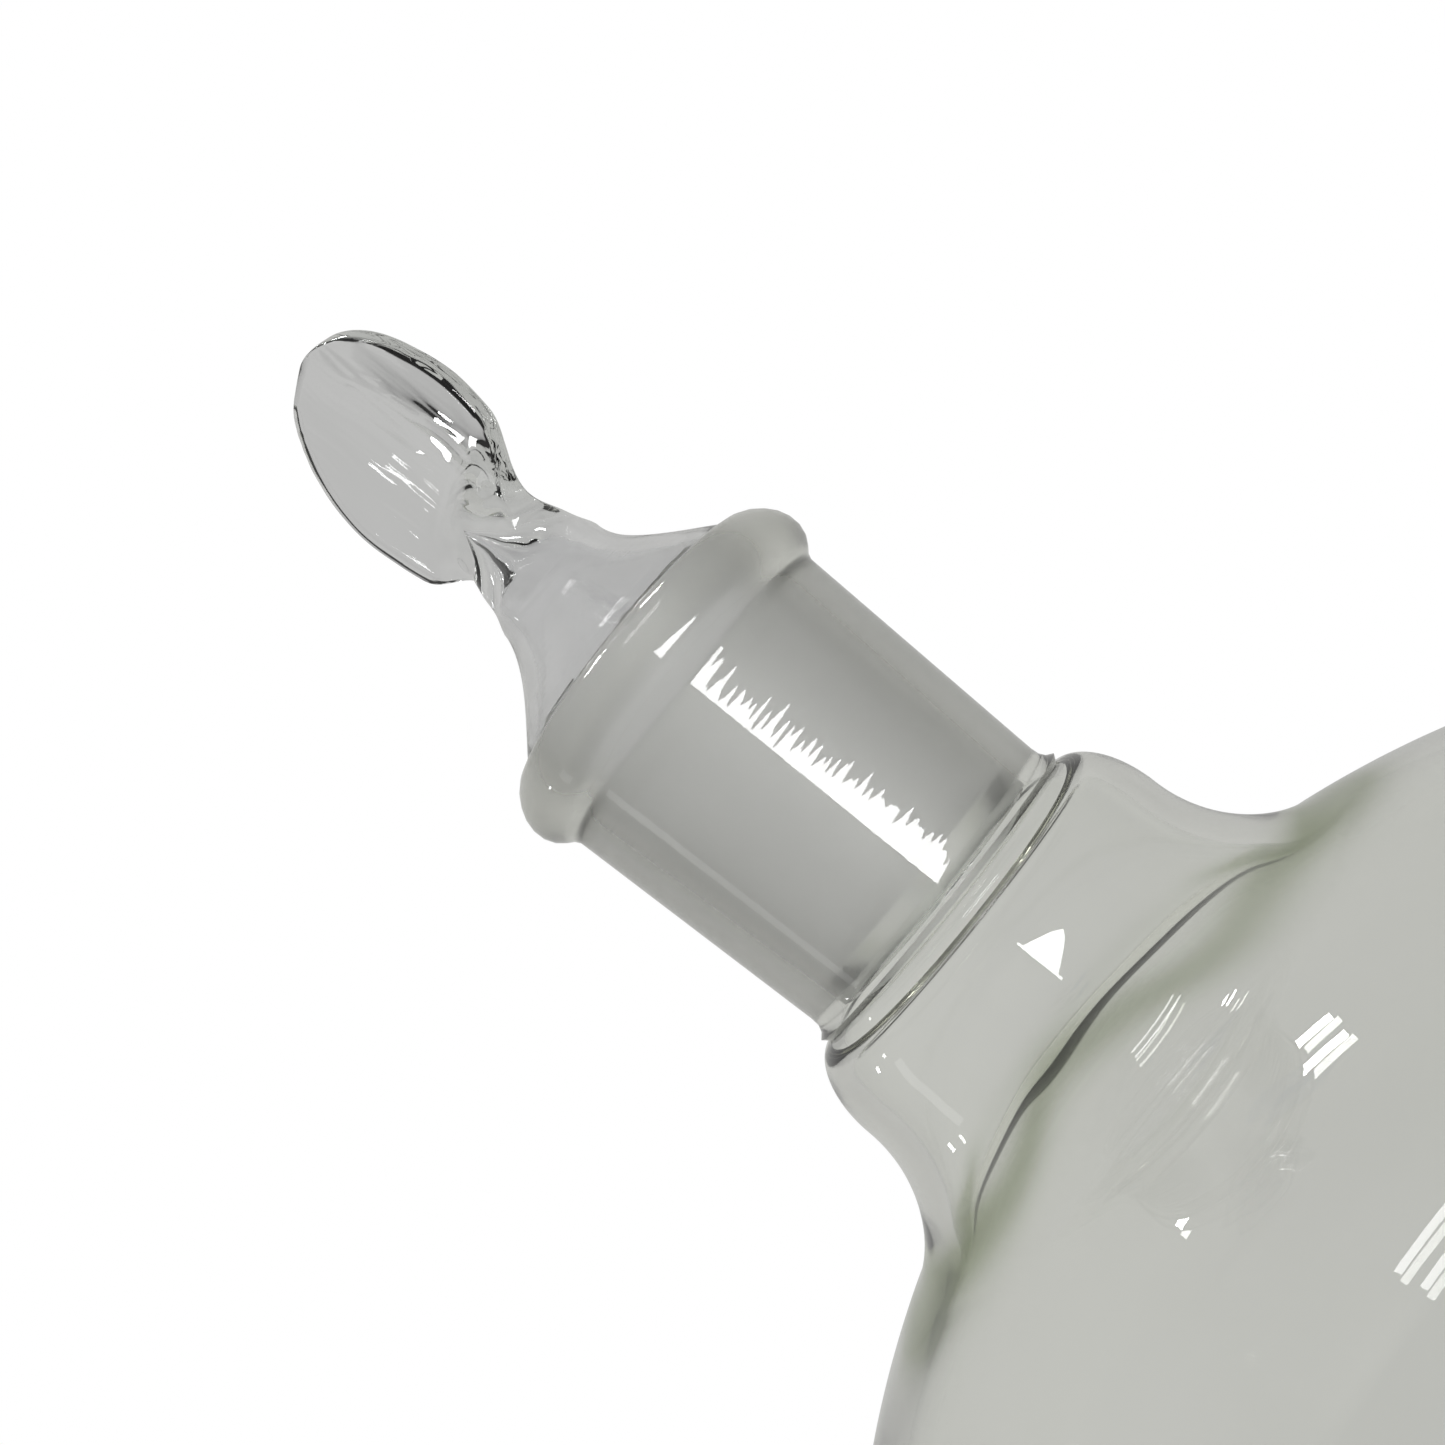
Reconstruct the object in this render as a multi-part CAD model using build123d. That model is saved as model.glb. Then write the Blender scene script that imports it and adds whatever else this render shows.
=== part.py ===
from build123d import *
import os
from math import atan2, cos, pi, radians, sin, sqrt, tan

# A 1000 mL pear-shaped separatory funnel with a 24/29 ground joint, a flat-head glass stopper
# and a PTFE stopcock. Millimetres, +Z up along the vessel's axis. The origin is the centre of
# the circle where a support ring carries the lower cone. The stopcock's plug lies along X, with
# its handle towards +X, and the stopper's thumb plate lies in the XZ plane.

# Vessel: outside radii of its arcs, from the neck down to the stopcock
wall = 2.0
bulb_r = 63.0
crown_r = 75.0
shoulder_r = 52.0
belly_r = 110.0
cone_half_angle = 35.0
neck_r = 16.6
neck_fillet = 11.2
neck_straight = 2.8
arm_r = 6.5
arm_fillet = 12.0
arm_straight = 7.0
ring_seat_r = 40.0
bulb_weld_below_neck = 7.0

# Ground joint 24/29: 24 mm wide mouth, 29 mm long, taper 1 in 10 on the diameter
joint_large_r = 12.0
joint_length = 29.0
joint_taper = 0.05
socket_wall_top = 1.6
socket_wall_bottom = 2.3
collar_height = 4.4
collar_shoulder_r = 3.6
collar_outer_turn = 72.0
collar_inner_turn = 60.0
bead_r = 15.2
bead_height = 6.2
bead_cove = 0.4
rim_flat = 0.5
rim_round = 0.8

# Stopper: the bell, stalk and cavity are curves through (radius, height above the rim)
joint_gap = 0.04
stopper_wall = 1.7
stopper_foot = 1.0
foot_chamfer = 0.8
bell_pulls = [(9.2, 2.6), (6.0, 5.2)]
bell_top = (5.5, 7.8)
stalk_pull = (5.2, 9.6)
waist_r = 4.8
waist_height = 12.0
cavity_shoulder_drop = 1.0
cavity_pulls = [(10.26, 1.8), (4.4, 2.6), (2.4, 5.0)]
cavity_height = 5.6
plate_half_width = 12.0
plate_half_height = 11.3
plate_thickness = 3.8
plate_edge_r = 1.75
plate_centre_height = 21.7
root_sections = [(0, 4.8, 4.8), (3.0, 6.6, 3.7), (6.5, 8.8, 1.9)]

# Stopcock: taper 1 in 5 on the diameter, 4 mm bore
barrel_length = 34.0
barrel_mid_r = 6.9
barrel_wall = 2.3
barrel_taper = 0.1
barrel_bead = 1.0
outlet_arm_extra = 0.4
outlet_r = 5.0
outlet_wall = 1.5
outlet_straight = 8.0
port_r = 2.0
stem_length = 92.0
stem_bevel_angle = 35.0

# Plug, washer, O-ring and nut, from the large end to the threaded tail
plug_gap = 0.035
plug_overhang = 2.2
plug_recess = 0.8
hub_r = 6.4
hub_length = 4.0
handle_length = 40.0
handle_height = 10.5
handle_thickness = 7.6
handle_tip_height = 7.0
handle_tip_round = 3.0
handle_edge_r = 2.2
tail_r = 4.4
tail_flat = 3.5
tail_length = 19.0
tail_chamfer = 0.6
tail_gap = 0.1
face_gap = 0.05
washer_r = 7.8
washer_thickness = 1.2
o_ring_r = 6.4
o_ring_thickness = 2.2
o_ring_edge_r = 0.7
nut_r = 9.6
nut_length = 10.0
nut_flutes = 10
nut_flute_r = 1.6
nut_flute_offset = 0.5
nut_chamfer = 0.9

# Heights that follow from the driving dimensions, counted from the equator first
crown_centre = -sqrt((crown_r - shoulder_r) ** 2 - (bulb_r - shoulder_r) ** 2)
fillet_centre = crown_centre + sqrt((crown_r + neck_fillet) ** 2 - (neck_r + neck_fillet) ** 2)
beta = radians(cone_half_angle)
belly_end_r = bulb_r - belly_r + belly_r * cos(beta)
belly_end = -belly_r * sin(beta)
ring_seat = belly_end - (belly_end_r - ring_seat_r) / tan(beta)
equator_z = -ring_seat
neck_z = equator_z + fillet_centre
weld_z = neck_z - bulb_weld_below_neck
joint_z = neck_z + neck_straight + collar_height
rim_z = joint_z + joint_length
cone_tip_z = equator_z + belly_end - (belly_end_r - arm_r) / tan(beta)
arm_top_z = cone_tip_z - arm_fillet * tan(beta / 2)
arm_weld_z = arm_top_z - arm_straight / 2
plug_z = arm_top_z - arm_straight - barrel_mid_r - barrel_wall
stem_top_z = plug_z - barrel_mid_r - barrel_wall - outlet_straight
stem_tip_z = stem_top_z - stem_length


def at(r, z):
    """A point of a section that is revolved about the vessel's axis."""
    return Vector(r, 0, z)


def ring_of(edges, axis=Axis.Z):
    """Revolves a closed section, given as its edges in order."""
    return revolve(make_face(edges), axis)


def slab(low, high, half_width=90.0):
    """A block across the vessel between two heights, to cut pieces from the whole wall."""
    block = Box(2 * half_width, 2 * half_width, high - low)
    return Pos(0, 0, (low + high) / 2) * block


def arc_about(centre_r, centre_z, radius, start, end):
    """An arc of the section; angles in radians from the outward direction, +Z positive."""
    middle = (start + end) / 2
    points = [at(centre_r + radius * cos(a), centre_z + radius * sin(a)) for a in (start, middle, end)]
    return ThreePointArc(*points)


def wall_curve(inset):
    """The vessel's line from the collar down to the stopcock arm, a distance inside the glass."""
    crown = crown_r - inset
    fillet = neck_fillet + inset
    arm_turn = arm_fillet + inset
    foot_r = arm_r - inset
    shoulder_x = bulb_r - shoulder_r
    fillet_angle = atan2(fillet_centre - crown_centre, neck_r + neck_fillet)
    shoulder_angle = atan2(-crown_centre, shoulder_x)
    neck_top = neck_z + neck_straight
    collar = Line(at(neck_r - inset, neck_top), at(neck_r - inset, neck_z))
    saddle = arc_about(neck_r + neck_fillet, neck_z, fillet, pi, pi + fillet_angle)
    crown_arc = arc_about(0, equator_z + crown_centre, crown, fillet_angle, shoulder_angle)
    shoulder = arc_about(shoulder_x, equator_z, shoulder_r - inset, shoulder_angle, 0)
    belly = arc_about(bulb_r - belly_r, equator_z, belly_r - inset, 0, -beta)
    foot = arc_about(arm_r + arm_fillet, arm_top_z, arm_turn, pi - beta, pi)
    cone = Line(belly @ 1, foot @ 0)
    arm = Line(foot @ 1, at(foot_r, arm_weld_z))
    return [collar, saddle, crown_arc, shoulder, belly, cone, foot, arm]


def vessel_wall():
    """Collar and bulb as one wall of even thickness, before they are cut apart at the weld."""
    outer = wall_curve(0)
    inner = wall_curve(wall)
    top = Line(outer[0] @ 0, inner[0] @ 0)
    bottom = Line(outer[-1] @ 1, inner[-1] @ 1)
    return ring_of(outer + inner + [top, bottom])


def collar_shoulder():
    """The rounded shoulder that narrows the collar to the joint's foot."""
    top = neck_z + neck_straight
    bend = collar_shoulder_r
    foot_r = joint_large_r - joint_taper * joint_length + socket_wall_bottom
    outer_turn = arc_about(neck_r - bend, top, bend, 0, radians(collar_outer_turn))
    outer_web = Line(outer_turn @ 1, at(foot_r, joint_z))
    bore_r = foot_r - socket_wall_bottom
    inner_turn = arc_about(neck_r - bend, top, bend - wall, 0, radians(collar_inner_turn))
    inner_web = Line(inner_turn @ 1, at(bore_r, joint_z))
    foot = Line(outer_web @ 1, inner_web @ 1)
    seat = Line(outer_turn @ 0, inner_turn @ 0)
    return ring_of([seat, outer_turn, outer_web, foot, inner_web, inner_turn])


def ground_socket():
    """The tapered joint socket with its rounded rim bead."""
    small_r = joint_large_r - joint_taper * joint_length
    foot_out = small_r + socket_wall_bottom
    neck_out = joint_large_r + socket_wall_top
    bead_foot_z = rim_z - bead_height
    crest_z = rim_z - bead_height / 2
    crest = at(bead_r, crest_z)
    rim_edge_r = joint_large_r + rim_flat
    outside = Line(at(foot_out, joint_z), at(neck_out, bead_foot_z))
    cove = Line(outside @ 1, at(neck_out + bead_cove, bead_foot_z + bead_cove * 1.5))
    bead = ThreePointArc(cove @ 1, at(bead_r - bead_cove * 0.3, (bead_foot_z + 2 * crest_z) / 3), crest)
    lip = ThreePointArc(crest, at(bead_r - rim_round, crest_z + bead_height * 0.28), at(rim_edge_r, rim_z))
    rim = Line(lip @ 1, at(joint_large_r, rim_z))
    bore = Line(rim @ 1, at(small_r, joint_z))
    foot = Line(bore @ 1, outside @ 0)
    return ring_of([outside, cove, bead, lip, rim, bore, foot])


def neck_collar():
    """The wide tube between the joint and the bulb."""
    tube = vessel_wall() & slab(weld_z, neck_z + neck_straight)
    return tube + collar_shoulder()


def bulb():
    """The pear-shaped bulb, from the neck weld to the stopcock's inlet arm."""
    return vessel_wall() & slab(arm_weld_z, weld_z)


def above_rim(point):
    """A point of a section given as (radius, height above the rim)."""
    return at(point[0], rim_z + point[1])


def stopper():
    """Hollow ground cone, closed at its foot, with a bell, a waist and a flat thumb plate."""
    top_r = joint_large_r - joint_gap
    foot_z = joint_z - stopper_foot
    foot_r = top_r - joint_taper * (rim_z - foot_z)
    waist = (waist_r, waist_height)
    ground = Line(at(foot_r, foot_z + foot_chamfer), at(top_r, rim_z))
    bell = Bezier(ground @ 1, *[above_rim(p) for p in bell_pulls], above_rim(bell_top))
    stalk = Bezier(bell @ 1, above_rim(stalk_pull), above_rim(waist))
    crown = Line(stalk @ 1, above_rim((0, waist_height)))
    axis_line = Line(crown @ 1, at(0, foot_z))
    base = Line(axis_line @ 1, at(foot_r - foot_chamfer, foot_z))
    base_turn = Line(base @ 1, ground @ 0)
    body = ring_of([ground, bell, stalk, crown, axis_line, base, base_turn])
    body -= stopper_cavity(foot_r, top_r, foot_z)
    return body + thumb_root() + thumb_plate()


def thumb_root():
    """The stalk's top, which spreads and flattens into the thumb plate."""
    low = rim_z + waist_height
    return loft([Pos(0, 0, low + rise) * Ellipse(width, depth) for rise, width, depth in root_sections])


def thumb_plate():
    """An upright oval disc with a rounded edge, standing in the XZ plane."""
    outline = Plane.XZ * Ellipse(plate_half_width, plate_half_height)
    disc = extrude(outline, plate_thickness / 2, both=True)
    disc = fillet(disc.edges(), plate_edge_r)
    return Pos(0, 0, rim_z + plate_centre_height) * disc


def stopper_cavity(foot_r, top_r, foot_z):
    """The blown hollow inside the stopper, which ends in a rounded apex inside the bell."""
    floor_z = foot_z + stopper_wall
    apex = above_rim((0, cavity_height))
    shoulder = above_rim((top_r - stopper_wall, -cavity_shoulder_drop))
    side = Line(at(foot_r - stopper_wall, floor_z), shoulder)
    dome = Bezier(shoulder, *[above_rim(p) for p in cavity_pulls], apex)
    centre = Line(apex, at(0, floor_z))
    floor = Line(centre @ 1, side @ 0)
    return ring_of([side, dome, centre, floor])


def along_plug(x, r):
    """A point of a section that is revolved about the stopcock's axis."""
    return Vector(x, 0, plug_z + r)


plug_axis = Axis((0, 0, plug_z), (1, 0, 0))


def taper_r(x):
    """The barrel's bore radius at a distance along the plug."""
    return barrel_mid_r + barrel_taper * x


def barrel_tube():
    """The barrel's outside as a solid taper with a rounded bead at each end."""
    half = barrel_length / 2
    corners = [
        along_plug(-half, taper_r(-half) + barrel_wall),
        along_plug(half, taper_r(half) + barrel_wall),
        along_plug(half, 0),
        along_plug(-half, 0),
    ]
    body = ring_of([Line(corners[i - 1], corners[i]) for i in range(4)], plug_axis)
    for end in (-1, 1):
        x = end * (half - barrel_bead)
        bead = Torus(taper_r(x) + barrel_wall - barrel_bead / 2, barrel_bead)
        body += Pos(x, 0, plug_z) * Rot(0, 90, 0) * bead
    return body


def barrel_bore():
    """The tapered seat that the plug turns in."""
    reach = barrel_length / 2 + 1
    points = [
        along_plug(-reach, 0),
        along_plug(-reach, taper_r(-reach)),
        along_plug(reach, taper_r(reach)),
        along_plug(reach, 0),
    ]
    return ring_of([Line(points[i - 1], points[i]) for i in range(4)], plug_axis)


def upright(radius, low, high):
    """A cylinder on the vessel's axis between two heights."""
    return Pos(0, 0, (low + high) / 2) * Cylinder(radius, high - low)


def stopcock_barrel():
    """Tapered barrel with its inlet arm above and its outlet arm below."""
    inlet = upright(arm_r, plug_z, arm_weld_z)
    outlet = upright(outlet_r + outlet_arm_extra, stem_top_z, plug_z)
    body = barrel_tube() + inlet + outlet
    inlet_bore_end = plug_z + barrel_mid_r + barrel_wall
    outlet_bore_end = plug_z - barrel_mid_r - barrel_wall
    body -= upright(arm_r - wall, inlet_bore_end, arm_weld_z)
    body -= upright(outlet_r - outlet_wall, stem_top_z, outlet_bore_end)
    body -= upright(port_r, outlet_bore_end - 0.1, inlet_bore_end + 0.1)
    return body - barrel_bore()


def stem():
    """The outlet stem, with its tip ground off at a slant."""
    tube = upright(outlet_r, stem_tip_z, stem_top_z)
    tube -= upright(outlet_r - outlet_wall, stem_tip_z - 1, stem_top_z + 1)
    slant = radians(stem_bevel_angle)
    tip_plane = Plane(origin=(0, 0, stem_tip_z + outlet_r * tan(slant)), z_dir=(sin(slant), 0, cos(slant)))
    return split(tube, bisect_by=tip_plane, keep=Keep.TOP)


def stopcock_plug():
    """PTFE plug: tapered key with its cross bore, hub and T-handle, and the threaded tail."""
    half = barrel_length / 2
    small_x = -half + plug_recess
    large_x = half + plug_overhang
    tail_x = small_x - tail_length
    hub_x = large_x + hub_length
    gap = plug_gap
    outline = Polyline(
        along_plug(tail_x, 0),
        along_plug(tail_x, tail_r - tail_chamfer),
        along_plug(tail_x + tail_chamfer, tail_r),
        along_plug(small_x, tail_r),
        along_plug(small_x, taper_r(small_x) - gap),
        along_plug(large_x, taper_r(large_x) - gap),
        along_plug(large_x, hub_r),
        along_plug(hub_x + handle_tip_round, hub_r),
        along_plug(hub_x + handle_tip_round, 0),
        along_plug(tail_x, 0),
    )
    body = revolve(make_face(outline), plug_axis)
    body += handle(hub_x)
    body -= Pos(0, 0, plug_z) * Rot(90, 0, 0) * Cylinder(port_r, 40)
    flat = Box(tail_length, 2 * tail_r, tail_r)
    body -= Pos(small_x - tail_length / 2, 0, plug_z + tail_flat + tail_r / 2) * flat
    return body


def handle(hub_x):
    """The T-handle: a bar in line with the cross bore, thinner towards its ends."""
    half = handle_length / 2
    top_x = hub_x + handle_height
    tip_x = top_x - handle_tip_height
    tip_y = half - handle_tip_round
    tip_middle_x = (top_x + tip_x) / 2
    side = [
        Line((hub_x, -hub_r), (hub_x, hub_r)),
        Line((hub_x, hub_r), (tip_x, tip_y)),
        ThreePointArc((tip_x, tip_y), (tip_middle_x, half), (top_x, tip_y)),
        Line((top_x, tip_y), (top_x, -tip_y)),
        ThreePointArc((top_x, -tip_y), (tip_middle_x, -half), (tip_x, -tip_y)),
        Line((tip_x, -tip_y), (hub_x, -hub_r)),
    ]
    bar = extrude(make_face(side), handle_thickness / 2, both=True)
    bar = fillet(bar.edges().filter_by(GeomType.LINE).filter_by(Axis.Y), handle_edge_r)
    return Pos(0, 0, plug_z) * bar


def d_hole(length):
    """The shape of the flatted tail with its clearance, for the holes that it drives."""
    round_part = Rot(0, 90, 0) * Cylinder(tail_r + tail_gap, length)
    flat = Box(length + 1, 4 * tail_r, 2 * tail_r)
    return round_part - Pos(0, 0, tail_flat + tail_gap + tail_r) * flat


def plug_washer():
    """PTFE washer with a D-shaped hole, so it turns with the plug and not with the nut."""
    x = -barrel_length / 2 - face_gap - washer_thickness / 2
    disc = Rot(0, 90, 0) * Cylinder(washer_r, washer_thickness)
    return Pos(x, 0, plug_z) * (disc - d_hole(washer_thickness + 2))


def plug_o_ring():
    """Rubber ring, pressed flat between the washer and the nut."""
    near = -barrel_length / 2 - face_gap - washer_thickness
    ring = Rot(0, 90, 0) * (Cylinder(o_ring_r, o_ring_thickness) - Cylinder(tail_r + tail_gap, 20))
    ring = fillet(ring.edges(), o_ring_edge_r)
    return Pos(near - o_ring_thickness / 2, 0, plug_z) * ring


def retaining_nut():
    """Plastic nut with grip flutes, screwed on the plug's tail."""
    near = -barrel_length / 2 - 2 * face_gap - washer_thickness - o_ring_thickness
    body = Cylinder(nut_r, nut_length)
    body = chamfer(body.edges(), nut_chamfer)
    for turn in range(nut_flutes):
        cut = Pos(nut_r + nut_flute_offset, 0, 0) * Cylinder(nut_flute_r, nut_length + 2)
        body -= Rot(0, 0, 360 / nut_flutes * turn) * cut
    body -= Cylinder(tail_r + tail_gap, nut_length + 2)
    return Pos(near - nut_length / 2, 0, plug_z) * Rot(0, 90, 0) * body


nodes = {
    "stopper": stopper(),
    "ground_socket": ground_socket(),
    "neck_collar": neck_collar(),
    "bulb": bulb(),
    "stopcock_barrel": stopcock_barrel(),
    "stem": stem(),
    "stopcock_plug": stopcock_plug(),
    "plug_washer": plug_washer(),
    "plug_o_ring": plug_o_ring(),
    "retaining_nut": retaining_nut(),
}

os.makedirs("parts", exist_ok=True)
for name, shape in nodes.items():
    export_step(shape, f"parts/{name}.step")

print(f"rim {rim_z:.2f}, joint foot {joint_z:.2f}, neck {neck_z:.2f}, weld {weld_z:.2f}")
print(f"equator {equator_z:.2f}, arm weld {arm_weld_z:.2f}, plug {plug_z:.2f}")
print(f"stem from {stem_top_z:.2f} to {stem_tip_z:.2f}")
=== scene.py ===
from math import atan2, cos, exp, pi, radians, sin, sqrt, tan

import bmesh
import bpy
import numpy as np
from mathutils import Matrix, Vector, noise


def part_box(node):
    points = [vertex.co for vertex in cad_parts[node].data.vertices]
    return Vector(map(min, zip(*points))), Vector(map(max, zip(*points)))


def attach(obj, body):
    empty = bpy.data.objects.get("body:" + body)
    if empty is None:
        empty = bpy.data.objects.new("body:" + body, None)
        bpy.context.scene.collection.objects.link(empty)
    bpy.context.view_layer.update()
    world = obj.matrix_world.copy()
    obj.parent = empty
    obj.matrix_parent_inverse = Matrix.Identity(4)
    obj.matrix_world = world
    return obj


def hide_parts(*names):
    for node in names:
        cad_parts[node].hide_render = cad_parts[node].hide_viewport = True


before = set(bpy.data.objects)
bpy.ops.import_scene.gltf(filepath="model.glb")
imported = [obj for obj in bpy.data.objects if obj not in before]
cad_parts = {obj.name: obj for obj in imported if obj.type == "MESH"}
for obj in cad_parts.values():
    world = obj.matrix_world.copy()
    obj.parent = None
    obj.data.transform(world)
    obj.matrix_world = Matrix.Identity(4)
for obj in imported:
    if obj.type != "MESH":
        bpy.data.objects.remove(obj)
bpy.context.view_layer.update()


# ---------------------------------------------------------------- Camera
# A close view of the neck and stopper from the level of the ground joint, tipped up a little,
# with the camera rolled so that the funnel lies slanted across the frame.

scene = bpy.context.scene
MM = 0.001
joint_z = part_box("ground_socket")[0].z / MM
camera_distance = 149.0
camera_height = joint_z + 7.9
camera_turn = radians(57)
camera_tilt = radians(4.7)
camera_roll = radians(51)

right = Vector((cos(camera_turn), sin(camera_turn), 0))
ahead = Vector((-sin(camera_turn), cos(camera_turn), 0))
sight = ahead * cos(camera_tilt) + Vector((0, 0, sin(camera_tilt)))
above = right.cross(sight)
image_x = right * cos(camera_roll) - above * sin(camera_roll)
image_y = right * sin(camera_roll) + above * cos(camera_roll)

camera_data = bpy.data.cameras.new("camera")
camera_data.sensor_width = 36
camera_data.lens = 49.75
camera_data.clip_start = 0.005
camera = bpy.data.objects.new("camera", camera_data)
camera_place = (Vector((0, 0, camera_height)) - ahead * camera_distance) * MM
camera_axes = Matrix((image_x, image_y, -sight)).transposed().to_4x4()
camera.matrix_world = Matrix.Translation(camera_place) @ camera_axes
scene.collection.objects.link(camera)
scene.camera = camera


# ---------------------------------------------------------------- Blown vessel
# Socket, collar and bulb: borosilicate tube and a blown bulb, turned in the lathe and welded in
# the flame. The socket's bore is ground matt. The weld between collar and bulb is a thicker,
# wavy ring of glass. Its dark olive tint is partly the thick glass's cast and partly painted
# shade, darkest at the ring's two sides as the camera sees it.

rim_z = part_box("ground_socket")[1].z / MM
weld_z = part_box("bulb")[1].z / MM
arm_end_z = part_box("bulb")[0].z / MM
bulb_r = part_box("bulb")[1].x / MM
wall = 2.0
crown_r = 75.0
shoulder_r = 52.0
belly_r = 110.0
cone_angle = radians(35)
neck_r = 16.6
saddle_r = 11.2
collar_bend_r = 3.6
arm_r = 6.5
arm_bend_r = 12.0
weld_drop = 7.0
joint_r = 12.0
joint_foot_r = 10.55
socket_foot_r = 12.85

neck_z = weld_z + weld_drop
collar_top_z = neck_z + 2.8
shoulder_x = bulb_r - shoulder_r
crown_drop = sqrt((crown_r - shoulder_r) ** 2 - shoulder_x ** 2)
saddle_rise = sqrt((crown_r + saddle_r) ** 2 - (neck_r + saddle_r) ** 2)
equator_z = neck_z - saddle_rise + crown_drop
saddle_angle = atan2(saddle_rise, neck_r + saddle_r)
shoulder_angle = atan2(crown_drop, shoulder_x)
belly_end_r = bulb_r - belly_r + belly_r * cos(cone_angle)
belly_end_z = equator_z - belly_r * sin(cone_angle)
arm_bend_z = belly_end_z - (belly_end_r - arm_r) / tan(cone_angle) - arm_bend_r * tan(cone_angle / 2)


def arc(centre_r, centre_z, radius, start, end, steps):
    """Points (r, z) along an arc, with angles in radians above the outward direction."""
    angles = [start + (end - start) * i / steps for i in range(steps + 1)]
    return [(centre_r + radius * cos(a), centre_z + radius * sin(a)) for a in angles]


def run(start, end, steps):
    """Points (r, z) along a straight line, without its first point."""
    return [tuple(s + (e - s) * i / steps for s, e in zip(start, end)) for i in range(1, steps + 1)]


def wall_line(inset):
    """The vessel's line from the collar down to the arm, at a depth inside the glass."""
    line = arc(neck_r + saddle_r, neck_z, saddle_r + inset, pi, pi + saddle_angle, 32)
    line += arc(0, equator_z - crown_drop, crown_r - inset, saddle_angle, shoulder_angle, 18)[1:]
    line += arc(shoulder_x, equator_z, shoulder_r - inset, shoulder_angle, 0, 24)[1:]
    line += arc(bulb_r - belly_r, equator_z, belly_r - inset, 0, -cone_angle, 24)[1:]
    cone_foot = arc(arm_r + arm_bend_r, arm_bend_z, arm_bend_r + inset, pi - cone_angle, pi, 10)
    line += run(line[-1], cone_foot[0], 10) + cone_foot[1:]
    return line + run(line[-1], (arm_r - inset, arm_end_z), 3)


def lathe(outline, turns, place=lambda r, along, a: (r * cos(a), r * sin(a), along)):
    """A closed outline (r, along, in mm) turned round an axis: its mesh, and each row of vertices."""
    mesh = bmesh.new()
    rows = []
    for r, along in outline:
        if r < 1e-6:
            rows.append([mesh.verts.new(Vector(place(0, along, 0)) * MM)] * turns)
            continue
        angles = [2 * pi * k / turns for k in range(turns)]
        rows.append([mesh.verts.new(Vector(place(r, along, a)) * MM) for a in angles])
    for low, high in zip(rows, rows[1:] + rows[:1]):
        for k in range(turns):
            corners = [low[k], low[(k + 1) % turns], high[(k + 1) % turns], high[k]]
            corners = list(dict.fromkeys(corners))
            if len(corners) > 2:
                mesh.faces.new(corners)
    bmesh.ops.recalc_face_normals(mesh, faces=mesh.faces)
    mesh.normal_update()
    return mesh, rows


def blend_between(value, low, high):
    """0 below low, 1 above high, smooth between."""
    t = min(1.0, max(0.0, (value - low) / (high - low)))
    return t * t * (3 - 2 * t)


def unevenness(angle, height, across, along, seed):
    """Smooth noise round the vessel, from -1 to 1, that closes on itself."""
    return noise.noise(Vector((cos(angle) * across, sin(angle) * across, height * along + seed)))


bead = [(joint_r, 0.0), (12.5, -0.05), (13.2, -0.3), (13.9, -0.8), (14.5, -1.5), (14.95, -2.3),
        (15.18, -3.2), (15.15, -4.1), (14.85, -4.9), (14.35, -5.5), (13.9, -5.9), (13.65, -6.4)]
outside = [(r, rim_z + z) for r, z in bead]
outside += run(outside[-1], (socket_foot_r, joint_z + 1.2), 20)
outside += [(socket_foot_r + 0.05, joint_z + 0.5), (13.15, joint_z), (13.6, joint_z - 0.35)]
collar_turn = arc(neck_r - collar_bend_r, neck_z, collar_bend_r, radians(86), 0, 22)
collar_stretch = (collar_top_z + collar_bend_r - neck_z) / collar_bend_r
outside += [(r, neck_z + (z - neck_z) * collar_stretch) for r, z in collar_turn[:-1]]
outside += wall_line(0)
inside = run((joint_r, rim_z), (joint_foot_r, joint_z + 1.0), 20)
inside += [(joint_foot_r + 0.05, joint_z + 0.3), (10.9, joint_z - 0.6), (11.6, joint_z - 1.4)]
inner_turn = arc(neck_r - collar_bend_r, neck_z, collar_bend_r - wall, radians(100), 0, 16)
inner_stretch = (collar_top_z + collar_bend_r - wall - neck_z) / (collar_bend_r - wall)
inside += [(r, neck_z + (z - neck_z) * inner_stretch) for r, z in inner_turn[:-1]]
inside += wall_line(wall)

weld_swell = 0.04
weld_half_height = 1.4
weld_sink = 1.9
weld_rise = 3.6
weld_rise_angle = radians(-8)
weld_rise_spread = radians(24)
weld_wander = 0.8
weld_droop = 1.6
blow_unevenness = 0.14
turns = 144
weld_front = camera_turn - pi / 2


def weld_line(angle):
    """Height of the weld ring's middle, which wanders and rises in one place."""
    turned = (angle - weld_front - weld_rise_angle + pi) % (2 * pi) - pi
    rise = weld_rise * exp(-(turned / weld_rise_spread) ** 2)
    droop = weld_droop * sin(angle - weld_front) ** 6
    return weld_z - weld_sink - droop + rise + weld_wander * unevenness(angle, 0, 2.3, 0, 4.0)


def weld_and_shade_weight(angle, height):
    """How strongly a point belongs to the weld ring, heaviest at its two sides as the camera sees it and
    faint behind. It swells the glass there and weights the weld's painted shade.
    """
    # Measured from the side that faces the camera: the heavy sides are where the weld's tint paints the most
    # shade.
    turned = (angle - weld_front + pi) % (2 * pi) - pi
    fade_behind = 1 - 0.85 * blend_between(abs(turned), 1.8, 2.4)
    heavy = (0.65 - 0.1 * sin(turned) + 1.3 * sin(turned) ** 6) * fade_behind
    return heavy * exp(-((height - weld_line(angle)) / weld_half_height) ** 2)


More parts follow.
